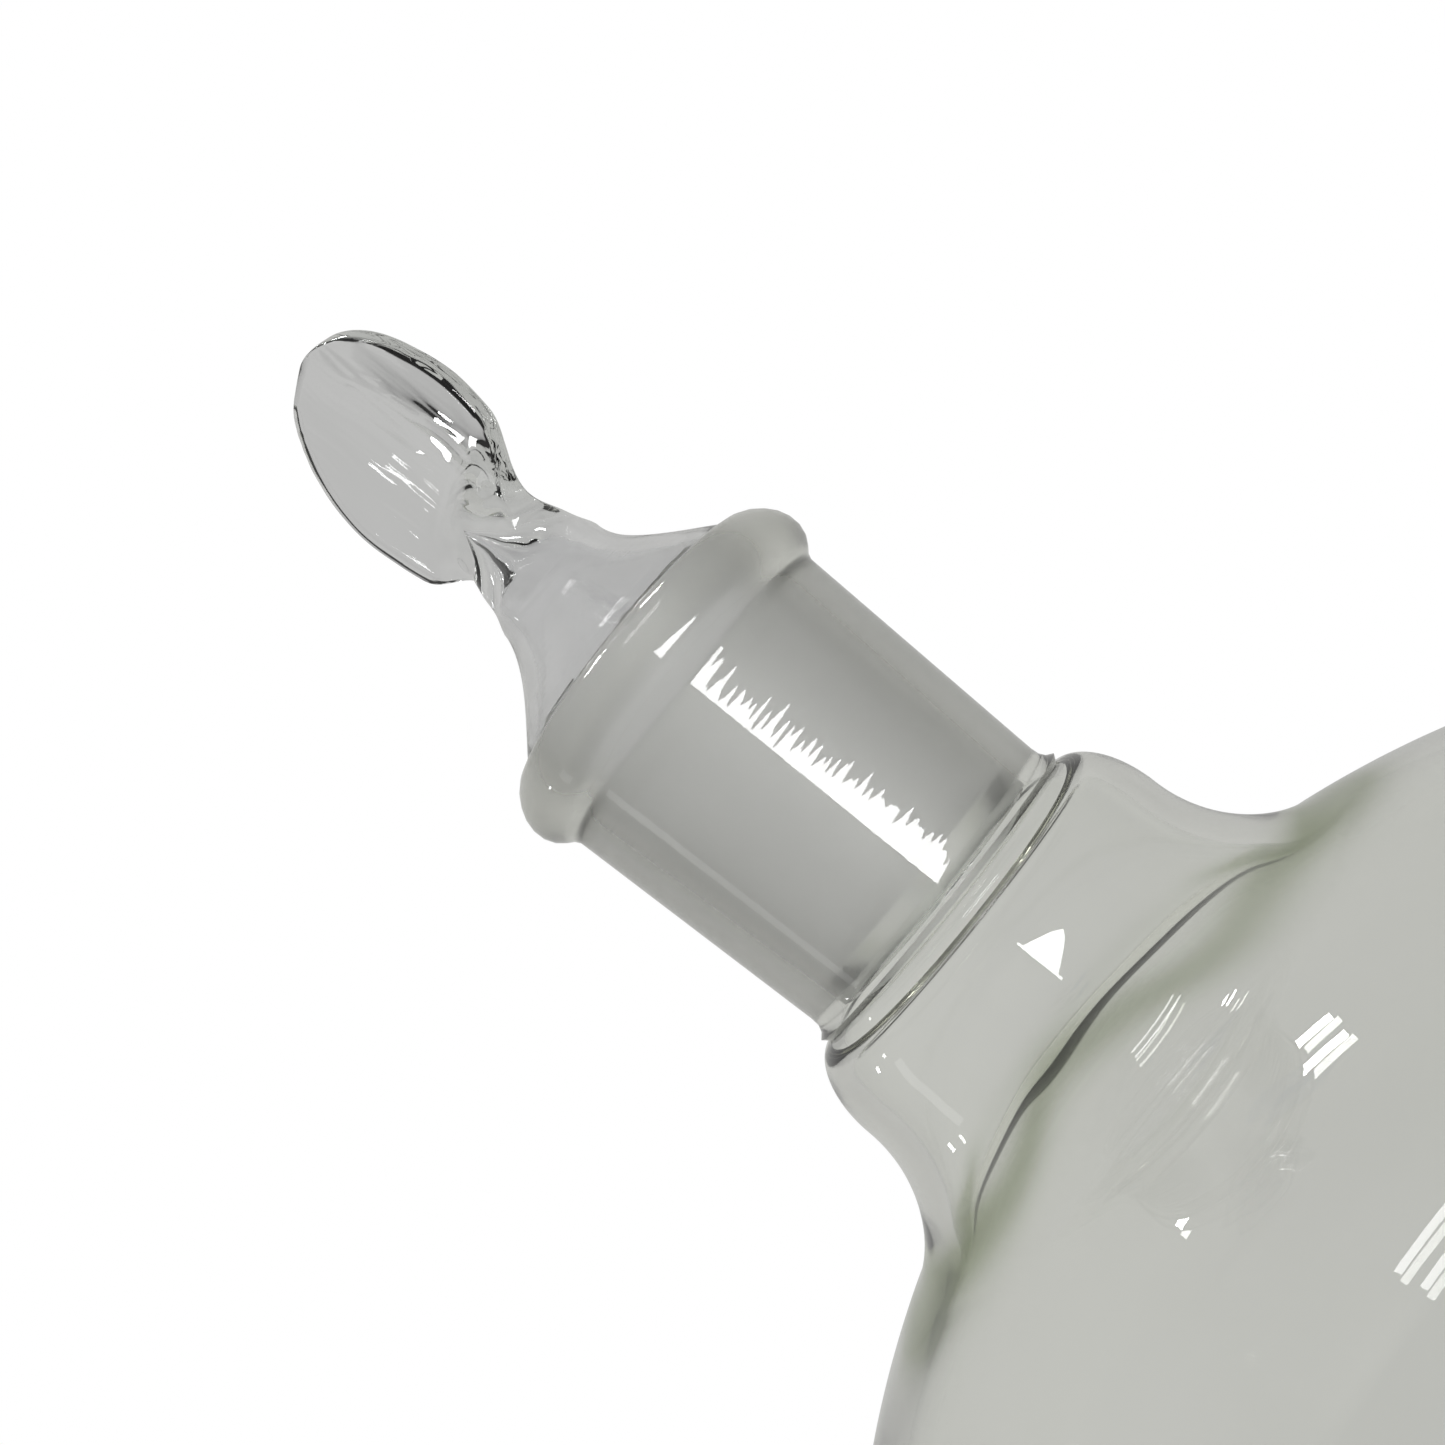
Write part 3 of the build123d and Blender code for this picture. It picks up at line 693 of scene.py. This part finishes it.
def handle_section(y):
    """The T-handle's outline at a distance along it: points (x, z)."""
    out = abs(y) / handle_half
    under_end = handle_top - handle_depth
    low_x = handle_x + (under_end - handle_x) * blend_between(abs(y), hub_r - 2.5, handle_half - 3)
    low_x += 0.35 * sin(pi * out) ** 2
    into_end = max(0.0, (abs(y) - handle_half + handle_end) / handle_end)
    round_end = sqrt(max(0.0, 1 - into_end ** 2))
    mid_x = (low_x + handle_top) / 2
    half_x = (handle_top - low_x) / 2 * (0.35 + 0.65 * round_end)
    half_z = handle_thick * (1 - 0.10 * sin(pi * out) ** 2) * (0.35 + 0.65 * round_end)
    ring = []
    for k in range(handle_columns):
        a = 2 * pi * k / handle_columns
        corner = abs(cos(a)) ** handle_squareness + abs(sin(a)) ** handle_squareness
        grow_out = corner ** (-1 / handle_squareness)
        ring.append((mid_x + half_x * grow_out * cos(a), half_z * grow_out * sin(a)))
    return ring


# PTFE: opaque white and waxy. Turning leaves fine rings at the feed of the tool.
feed_mm = 0.16
ptfe, tree, out = material("ptfe_turned")
place = add(tree, "ShaderNodeTexCoord")["Object"]
feed = add(tree, "ShaderNodeVectorMath", {0: place, 1: (1 / feed_mm / MM, 40, 40)}, operation="MULTIPLY")[0]
marks = add(tree, "ShaderNodeTexNoise", {"Vector": feed, "Scale": 1.0, "Detail": 2.0})[0]
cloudy = add(tree, "ShaderNodeTexNoise", {"Vector": place, "Scale": 160.0, "Detail": 3.0})[0]
white = add(tree, "ShaderNodeMix", {0: cloudy, 6: linear("#DDDDD8"), 7: linear("#EBEBE7")}, data_type="RGBA")
waxy = add(tree, "ShaderNodeMapRange", {0: cloudy, 3: 0.34, 4: 0.46})[0]
tooled = add(tree, "ShaderNodeBump", {"Height": marks, "Distance": 0.012 * MM, "Strength": 1.0})
shader = add(tree, "ShaderNodeBsdfPrincipled", {
    "Base Color": white[2], "Roughness": waxy, "IOR": 1.38,
    "Subsurface Weight": 0.25, "Subsurface Scale": 0.002, "Normal": tooled[0]})
tree.links.new(shader[0], out.inputs["Surface"])

key_mesh = lathe(key, 96, about_plug)[0]
key_blank = piece("key_blank", key_mesh, ptfe)
tail_length = small_x - plug_box[0].x
thread_mesh = grow("thread_blank", bpy.data.meshes.new("seed"), thread, ptfe, {
    "Pitch": thread_pitch * MM, "Length": (tail_length - 4) * MM,
    "Core radius": (tail_r - ridge_r) * MM, "Ridge": ridge_r * MM})
thread_blank = piece("thread_blank", thread_mesh, ptfe)
bar = bmesh.new()
rings = []
steps = 64
for i in range(steps + 1):
    y = -handle_half * cos(pi * i / steps)
    rings.append([bar.verts.new(Vector((x, y, plug_z + z)) * MM) for x, z in handle_section(y)])
for low_ring, high_ring in zip(rings, rings[1:]):
    for k in range(handle_columns):
        after = (k + 1) % handle_columns
        bar.faces.new([low_ring[k], low_ring[after], high_ring[after], high_ring[k]])
bar.faces.new(rings[0][::-1])
bar.faces.new(rings[-1])
bmesh.ops.recalc_face_normals(bar, faces=bar.faces)
bar_blank = piece("bar_blank", bar, ptfe)
port = lathe([(0, -port_reach), (port_r, -port_reach), (port_r, port_reach), (0, port_reach)], 48,
             lambda r, along, a: (r * cos(a), along, plug_z + r * sin(a)))[0]
port_cutter = piece("port_cutter", port, ptfe)
flat_side = bmesh.new()
bmesh.ops.create_cube(flat_side, size=1)
flat_place = Vector(((plug_box[0].x + small_x) / 2 - 1, 0, plug_z + tail_flat + 5)) * MM
bmesh.ops.transform(flat_side, verts=flat_side.verts, matrix=Matrix.Translation(flat_place)
                    @ Matrix.Diagonal((*(Vector((tail_length, 12, 10)) * MM), 1)))
flat_cutter = piece("flat_cutter", flat_side, ptfe)
plug_whole = piece("plug_whole", joined(key_blank, [thread_blank, bar_blank]), ptfe)
plug = piece("ptfe_plug", joined(plug_whole, [port_cutter, flat_cutter], "DIFFERENCE"), ptfe)
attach(plug, "plug")
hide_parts("stopcock_plug")


# ---------------------------------------------------------------- Washer and O-ring
# A PTFE washer with a D-shaped hole bears on the barrel's end and turns with the plug. A black
# rubber ring behind it springs the nut's pull.

washer_box = [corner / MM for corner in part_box("plug_washer")]
ring_box = [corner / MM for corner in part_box("plug_o_ring")]
hole_r = tail_r + 0.1
washer_r = washer_box[1].y
near_x, far_x = washer_box[1].x, washer_box[0].x
washer_line = [(hole_r, near_x - 0.15), (hole_r + 0.15, near_x)]
washer_line += [(washer_r - 0.25, near_x), (washer_r, near_x - 0.25)]
washer_line += [(washer_r, far_x + 0.25), (washer_r - 0.25, far_x)]
washer_line += [(hole_r + 0.15, far_x), (hole_r, far_x + 0.15)]
washer_mesh = lathe(washer_line, 96, about_plug)[0]
for vertex in washer_mesh.verts:
    if Vector((vertex.co.y, vertex.co.z - plug_z * MM)).length / MM < hole_r + 0.3:
        vertex.co.z = min(vertex.co.z, (plug_z + tail_flat + 0.1) * MM)
washer = piece("ptfe_washer", washer_mesh, ptfe)
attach(washer, "seal")
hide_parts("plug_washer")

# Nitrile rubber: matt black, moulded, with a bloom of talc left in its pores.
rubber, tree, out = material("nitrile_rubber")
place = add(tree, "ShaderNodeTexCoord")["Object"]
bloom = add(tree, "ShaderNodeTexNoise", {"Vector": place, "Scale": 700.0, "Detail": 4.0})[0]
black = add(tree, "ShaderNodeMix", {0: bloom, 6: linear("#171717"), 7: linear("#323230")}, data_type="RGBA")
dry = add(tree, "ShaderNodeMapRange", {0: bloom, 3: 0.5, 4: 0.75})[0]
pores = add(tree, "ShaderNodeBump", {"Height": bloom, "Distance": 0.03 * MM, "Strength": 1.0})
shader = add(tree, "ShaderNodeBsdfPrincipled", {
    "Base Color": black[2], "Roughness": dry, "IOR": 1.5, "Normal": pores[0]})
tree.links.new(shader[0], out.inputs["Surface"])

ring_half = (ring_box[1].x - ring_box[0].x) / 2
ring_x = (ring_box[1].x + ring_box[0].x) / 2
ring_mid_r = (ring_box[1].y + hole_r) / 2
ring_half_r = (ring_box[1].y - hole_r) / 2
ring_line = []
for k in range(28):
    a = 2 * pi * k / 28
    squared = (abs(cos(a)) ** 3 + abs(sin(a)) ** 3) ** (-1 / 3)
    ring_line.append((ring_mid_r + ring_half_r * squared * cos(a), ring_x + ring_half * squared * sin(a)))
o_ring_mesh = lathe(ring_line, 96, about_plug)[0]
o_ring = piece("rubber_o_ring", o_ring_mesh, rubber)
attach(o_ring, "seal")
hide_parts("plug_o_ring")


# ---------------------------------------------------------------- Retaining nut
# Injection-moulded polypropylene nut with ten grip flutes. It screws along the plug's tail and
# draws the key into its seat.

nut_box = [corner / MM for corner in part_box("retaining_nut")]
nut_r = 9.6
flutes = 10
flute_depth = 1.15
flute_sharpness = 5.0
flute_share = 0.84
bore_edge = 5.0
groove_depth = 0.6 * thread_depth

nut_tree, given, result = geometry_tree("fluted_nut", ["Flutes", "Depth", "Grip radius", "Start", "Pitch"])
place = add(nut_tree, "GeometryNodeInputPosition")[0]
split = add(nut_tree, "ShaderNodeSeparateXYZ", {0: place})
up = add(nut_tree, "ShaderNodeMath", {0: split["Z"], 1: plug_z * MM}, operation="SUBTRACT")[0]
angle = add(nut_tree, "ShaderNodeMath", {0: up, 1: split["Y"]}, operation="ARCTAN2")[0]
spoke = add(nut_tree, "ShaderNodeCombineXYZ", {1: split["Y"], 2: up})[0]
across = add(nut_tree, "ShaderNodeVectorMath", {0: spoke}, operation="LENGTH")["Value"]
turns_round = add(nut_tree, "ShaderNodeMath", {0: angle, 1: given["Flutes"]}, operation="MULTIPLY")[0]
wave = add(nut_tree, "ShaderNodeMath", {0: turns_round}, operation="COSINE")[0]
half_wave = add(nut_tree, "ShaderNodeMath", {0: wave, 1: 0.5, 2: 0.5}, operation="MULTIPLY_ADD")[0]
notch = add(nut_tree, "ShaderNodeMath", {0: half_wave, 1: flute_sharpness}, operation="POWER")[0]
grip_from = add(nut_tree, "ShaderNodeMath", {0: given["Grip radius"], 1: flute_share},
                operation="MULTIPLY")[0]
gripped = add(nut_tree, "ShaderNodeMapRange", {0: across, 1: grip_from, 2: given["Grip radius"]},
              interpolation_type="SMOOTHSTEP")[0]
flute = add(nut_tree, "ShaderNodeMath", {0: notch, 1: gripped}, operation="MULTIPLY")[0]
cut = add(nut_tree, "ShaderNodeMath", {0: flute, 1: given["Depth"]}, operation="MULTIPLY")[0]
along = add(nut_tree, "ShaderNodeMath", {0: split["X"], 1: given["Start"]}, operation="SUBTRACT")[0]
lead = add(nut_tree, "ShaderNodeMath", {0: along, 1: given["Pitch"]}, operation="DIVIDE")[0]
helix_phase = add(nut_tree, "ShaderNodeMath", {0: lead, 1: 2 * pi, 2: angle}, operation="MULTIPLY_ADD")[0]
helix_wave = add(nut_tree, "ShaderNodeMath", {0: helix_phase}, operation="COSINE")[0]
groove = add(nut_tree, "ShaderNodeMath", {0: helix_wave, 1: 0.5, 2: 0.5}, operation="MULTIPLY_ADD")[0]
in_bore = add(nut_tree, "ShaderNodeMapRange", {
    0: across, 1: (bore_edge + 0.1) * MM, 2: (bore_edge - 0.1) * MM})[0]
bore_groove = add(nut_tree, "ShaderNodeMath", {0: groove, 1: in_bore}, operation="MULTIPLY")[0]
groove_cut = add(nut_tree, "ShaderNodeMath", {0: bore_groove, 1: -groove_depth * MM}, operation="MULTIPLY")[0]
both_cuts = add(nut_tree, "ShaderNodeMath", {0: cut, 1: groove_cut}, operation="ADD")[0]
inward = add(nut_tree, "ShaderNodeMath", {0: both_cuts, 1: -1.0}, operation="MULTIPLY")[0]
outward = add(nut_tree, "ShaderNodeVectorMath", {0: spoke}, operation="NORMALIZE")[0]
shift = add(nut_tree, "ShaderNodeVectorMath", {0: outward, 3: inward}, operation="SCALE")[0]
shaped = add(nut_tree, "GeometryNodeSetPosition", {"Geometry": given["Geometry"], "Offset": shift})
finished = add(nut_tree, "GeometryNodeSetMaterial", {"Geometry": shaped[0], "Material": given["Finish"]})
real = add(nut_tree, "GeometryNodeRealizeInstances", {0: finished[0]})
nut_tree.links.new(real[0], result.inputs[0])

# Polypropylene, moulded in a blue of its own: satin, paler where hands have rubbed the ribs.
polypropylene, tree, out = material("polypropylene_moulded")
coords = add(tree, "ShaderNodeTexCoord")["Object"]
grain = add(tree, "ShaderNodeTexNoise", {"Vector": coords, "Scale": 900.0, "Detail": 3.0})[0]
patch = add(tree, "ShaderNodeTexNoise", {"Vector": coords, "Scale": 120.0, "Detail": 3.0})[0]
parts = add(tree, "ShaderNodeSeparateXYZ", {0: coords})
lift = add(tree, "ShaderNodeMath", {0: parts["Z"], 1: plug_z * MM}, operation="SUBTRACT")[0]
spoke = add(tree, "ShaderNodeCombineXYZ", {1: parts["Y"], 2: lift})[0]
rib = add(tree, "ShaderNodeVectorMath", {0: spoke}, operation="LENGTH")["Value"]
rubbed = add(tree, "ShaderNodeMapRange", {
    0: rib, 1: (nut_r - 0.4) * MM, 2: (nut_r + 0.05) * MM, 3: 0.0, 4: 0.5})[0]
blue = add(tree, "ShaderNodeMix", {0: patch, 6: linear("#1B4A9C"), 7: linear("#24569F")}, data_type="RGBA")
worn = add(tree, "ShaderNodeMix", {0: rubbed, 6: blue[2], 7: linear("#4F7DBE")}, data_type="RGBA")
satin = add(tree, "ShaderNodeMapRange", {0: grain, 3: 0.30, 4: 0.46})[0]
moulded = add(tree, "ShaderNodeBump", {"Height": grain, "Distance": 0.02 * MM, "Strength": 1.0})
shader = add(tree, "ShaderNodeBsdfPrincipled", {
    "Base Color": worn[2], "Roughness": satin, "IOR": 1.49, "Normal": moulded[0]})
tree.links.new(shader[0], out.inputs["Surface"])

near_x, far_x = nut_box[1].x, nut_box[0].x
nut_line = run((hole_r + 0.5, near_x), (nut_r - 1.2, near_x), 4)
nut_line += [(nut_r - 0.7, near_x - 0.15), (nut_r - 0.25, near_x - 0.5)]
nut_line += run((nut_r, near_x - 0.9), (nut_r, far_x + 0.9), 12)
nut_line += [(nut_r - 0.25, far_x + 0.5), (nut_r - 0.7, far_x + 0.15)]
nut_line += run((nut_r - 1.2, far_x), (hole_r + 0.5, far_x), 4) + [(hole_r + 0.15, far_x + 0.2)]
nut_line += run((hole_r, far_x + 0.5), (hole_r, near_x - 0.5), 40) + [(hole_r + 0.15, near_x - 0.2)]
nut_blank = lathe(nut_line, 240, about_plug)[0]
nut_seed = bpy.data.meshes.new("nut_seed")
nut_blank.to_mesh(nut_seed)
nut_blank.free()
nut_mesh = grow("nut_blank", nut_seed, nut_tree, polypropylene, {
    "Flutes": flutes, "Depth": flute_depth * MM, "Grip radius": nut_r * MM,
    "Start": plug_box[0].x * MM, "Pitch": thread_pitch * MM})
nut = piece("fluted_nut", nut_mesh, polypropylene)
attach(nut, "nut")
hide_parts("retaining_nut")


# ---------------------------------------------------------------- Floor
# A round table top in pale matt paint, a little below the stem's tip.

floor_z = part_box("stem")[0].z - 20 * MM
disc = bmesh.new()
bmesh.ops.create_circle(disc, cap_ends=True, segments=96, radius=0.6)
floor_data = bpy.data.meshes.new("floor")
disc.to_mesh(floor_data)
disc.free()
floor = bpy.data.objects.new("floor", floor_data)
floor.location.z = floor_z
scene.collection.objects.link(floor)
paint, tree, out = material("matt_paint")
place = add(tree, "ShaderNodeTexCoord")["Object"]
patch = add(tree, "ShaderNodeTexNoise", {"Vector": place, "Scale": 6.0, "Detail": 2.0})[0]
pale = add(tree, "ShaderNodeMix", {0: patch, 6: linear("#E2E2DF"), 7: linear("#EAEAE8")}, data_type="RGBA")
shader = add(tree, "ShaderNodeBsdfPrincipled", {"Base Color": pale[2], "Roughness": 0.6})
tree.links.new(shader[0], out.inputs["Surface"])
floor_data.materials.append(paint)


# ---------------------------------------------------------------- Studio
# A pale grey room, lighter ahead of the camera than behind it, against a white backdrop. A key
# window stands beside the camera and two small windows at the left. Two strip lamps hang high
# in front of the funnel, and two pairs of them behind it.

world = bpy.data.worlds.new("studio")
scene.world = world
world.use_nodes = True
tree = world.node_tree
tree.nodes.clear()
out = tree.nodes.new("ShaderNodeOutputWorld")
ray = add(tree, "ShaderNodeLightPath")["Is Camera Ray"]
toward = add(tree, "ShaderNodeTexCoord")["Generated"]
behind = add(tree, "ShaderNodeVectorMath", {0: toward, 1: tuple(ahead)}, operation="DOT_PRODUCT")["Value"]
share = add(tree, "ShaderNodeMapRange", {0: behind, 1: -0.9, 2: 0.5})[0]
room = add(tree, "ShaderNodeMix", {0: share, 6: linear("#BABAB9"), 7: linear("#C3C3C1")}, data_type="RGBA")[2]
blotches = add(tree, "ShaderNodeTexNoise", {"Vector": toward, "Scale": 1.6, "Detail": 2.0})[0]
level = add(tree, "ShaderNodeMapRange", {0: blotches, 1: 0.3, 2: 0.7, 3: 0.90, 4: 1.08})[0]
grey = add(tree, "ShaderNodeBackground", {"Color": room, "Strength": level})
white = add(tree, "ShaderNodeBackground", {"Color": (1, 1, 1, 1), "Strength": 1.0})
mix = add(tree, "ShaderNodeMixShader", {0: ray, 1: grey[0], 2: white[0]})
tree.links.new(mix[0], out.inputs["Surface"])


def window(name, azimuth, elevation, width, height, roll, strength, seen_through=False, distance=1.5):
    """A soft box that faces the neck. Azimuth is to the right of the camera."""
    data = bpy.data.lights.new(name, "AREA")
    data.shape = "RECTANGLE"
    data.size = width
    data.size_y = height
    data.energy = strength * width * height * pi
    lamp = bpy.data.objects.new(name, data)
    a = radians(azimuth)
    e = radians(elevation)
    outward = (-ahead * cos(a) + right * sin(a)) * cos(e) + Vector((0, 0, 1)) * sin(e)
    centre = Vector((0, 0, (joint_z + 10) * MM))
    facing = outward.to_track_quat("Z", "Y").to_matrix().to_4x4() @ Matrix.Rotation(radians(roll), 4, "Z")
    lamp.matrix_world = Matrix.Translation(centre + outward * distance) @ facing
    lamp.visible_camera = False
    lamp.visible_transmission = seen_through
    scene.collection.objects.link(lamp)
    return data


# The near window is seen past a blind, which leaves a patch of light that narrows upwards.
key_light = window("key_window", 21, -2, 0.80, 0.76, 0, 16)
key_light.use_nodes = True
tree = key_light.node_tree
patch_at = add(tree, "ShaderNodeTexCoord")["UV"]
sides = add(tree, "ShaderNodeSeparateXYZ", {0: patch_at})
open_width = add(tree, "ShaderNodeMapRange", {0: sides["Y"], 1: 0.15, 2: 0.85, 3: 1.0, 4: 0.05})[0]
open_part = add(tree, "ShaderNodeMath", {0: sides["X"], 1: open_width}, operation="LESS_THAN")[0]
tree.links.new(open_part, tree.nodes["Emission"].inputs["Strength"])
for name, azimuth, elevation, length, strength, shift in (
        ("lamp_near_1", 6, 78, 0.5, 10, 0.22), ("lamp_near_2", 6, 82.5, 0.5, 10, 0.22),
        ("lamp_left_1", 180, 60, 0.16, 40, -0.16), ("lamp_left_2", 180, 64, 0.16, 40, -0.16),
        ("lamp_right_1", 180, 60, 0.26, 40, 0.22), ("lamp_right_2", 180, 64, 0.26, 40, 0.22)):
    window(name, azimuth, elevation, length, 0.035, 0, strength, True)
    bpy.data.objects[name].location += right * shift
window("side_window", -84, 2, 0.16, 0.7, 0, 1.2)
window("head_window", -101, 16, 0.06, 0.10, 15, 20, True)

scene.cycles.max_bounces = 32
scene.cycles.transmission_bounces = 32
scene.view_settings.view_transform = "Standard"
